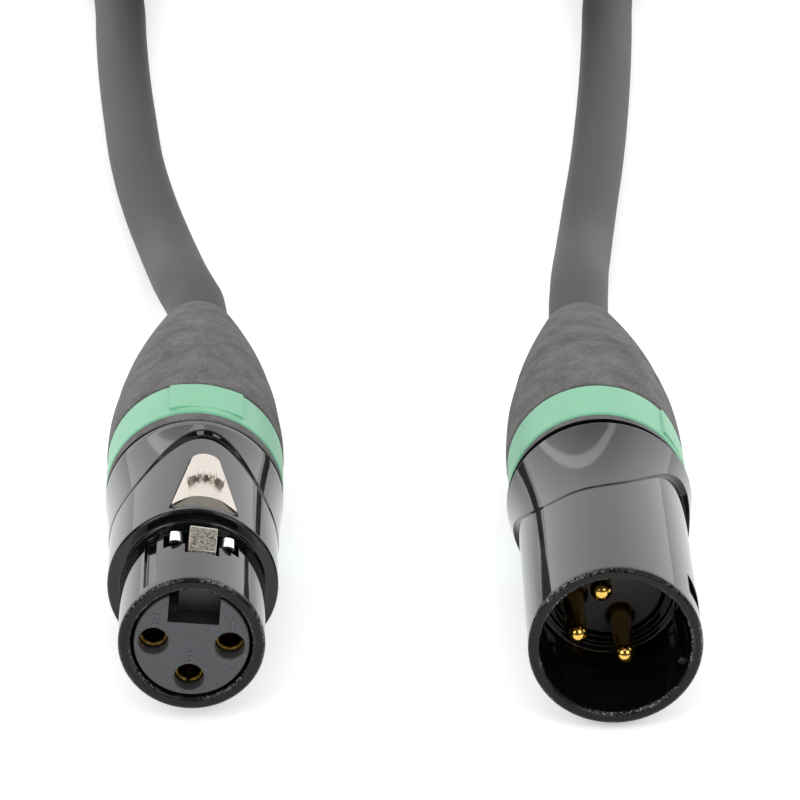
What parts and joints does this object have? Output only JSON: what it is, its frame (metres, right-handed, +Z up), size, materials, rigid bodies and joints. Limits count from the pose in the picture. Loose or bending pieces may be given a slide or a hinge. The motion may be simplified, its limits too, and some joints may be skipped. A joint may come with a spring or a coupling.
{
  "type": "microphone cable",
  "caption": "Coiled audio cable with a latching female and a male three-pole round connector, each with a coding ring and a screw-on boot.",
  "frame": {"origin": "on the surface that everything lies on, under the middle of the two connectors' common box", "axes": "-Y is the way the connectors' fronts point, +X runs from the female connector to the male one, +Z is up"},
  "size_m": [0.1106, 0.3379, 0.0329],
  "materials": {
    "black_chrome": "black chrome on zinc, high gloss",
    "slate_plastic": "dark slate, finely grained",
    "gold": "gold plated, polished",
    "core_red": "smooth insulation",
    "core_white": "smooth insulation",
    "core_blue": "smooth insulation",
    "black_plastic": "satin",
    "nickel": "warm nickel, slightly grained",
    "spring_steel": "bright strip",
    "mint_plastic": "satin mint green",
    "grey_rubber": "matte, slightly mottled",
    "cable_jacket": "matte",
    "strap": "woven hook-and-loop strap"
  },
  "bodies": {
    "cable": {"female_shell": "black_chrome", "female_insert": "slate_plastic", "female_contact_1": "gold", "female_contact_2": "gold", "female_contact_3": "gold", "female_core_1": "core_red", "female_core_2": "core_white", "female_core_3": "core_blue", "female_collet": "black_plastic", "latch_spring": "spring_steel", "latch_pin": "spring_steel", "male_shell": "black_chrome", "male_insert": "slate_plastic", "male_pin_1": "gold", "male_pin_2": "gold", "male_pin_3": "gold", "male_core_1": "core_red", "male_core_2": "core_white", "male_core_3": "core_blue", "male_collet": "black_plastic", "cable_lead_female": "cable_jacket", "cable_lead_male": "cable_jacket", "cable_coil": "cable_jacket", "cable_tie": "strap"},
    "latch": {"latch_lever": "nickel"},
    "female_ring_carriage": {"female_coding_ring": "mint_plastic"},
    "female_boot": {"female_boot_nut": "grey_rubber", "female_boot_sleeve": "grey_rubber"},
    "male_ring_carriage": {"male_coding_ring": "mint_plastic"},
    "male_boot": {"male_boot_nut": "grey_rubber", "male_boot_sleeve": "grey_rubber"}
  },
  "joints": [
    {"name": "latch_press", "type": "hinge", "parent": "cable", "child": "latch", "pos_m": [-0.02165, -0.01368, 0.01855], "axis": [0.9876, 0.0157, -0.1564], "range_deg": [0, 5], "stiffness_Nm_per_rad": 0.3, "springref_deg": -4.58, "deforming": ["latch_spring"]},
    {"name": "female_ring_slide", "type": "slide", "parent": "cable", "child": "female_ring_carriage", "axis": [-0.0159, 0.9999, 0], "range_m": [0, 0.0054]},
    {"name": "female_boot_turn", "type": "hinge", "parent": "female_ring_carriage", "child": "female_boot", "pos_m": [-0.02255, -0.0394, 0.0103], "axis": [-0.0159, 0.9999, 0], "range_deg": [0, 1296.2]},
    {"name": "male_ring_slide", "type": "slide", "parent": "cable", "child": "male_ring_carriage", "axis": [0, 1, 0], "range_m": [0, 0.0054]},
    {"name": "male_boot_turn", "type": "hinge", "parent": "male_ring_carriage", "child": "male_boot", "pos_m": [0.0233, -0.0411, 0.0106], "axis": [0, 1, 0], "range_deg": [0, 1296.2]}
  ],
  "couplings": [
    {"joint": "female_boot_turn", "follows": "female_ring_slide", "rad_per_m": 4188.8},
    {"joint": "male_boot_turn", "follows": "male_ring_slide", "rad_per_m": 4188.8}
  ]
}
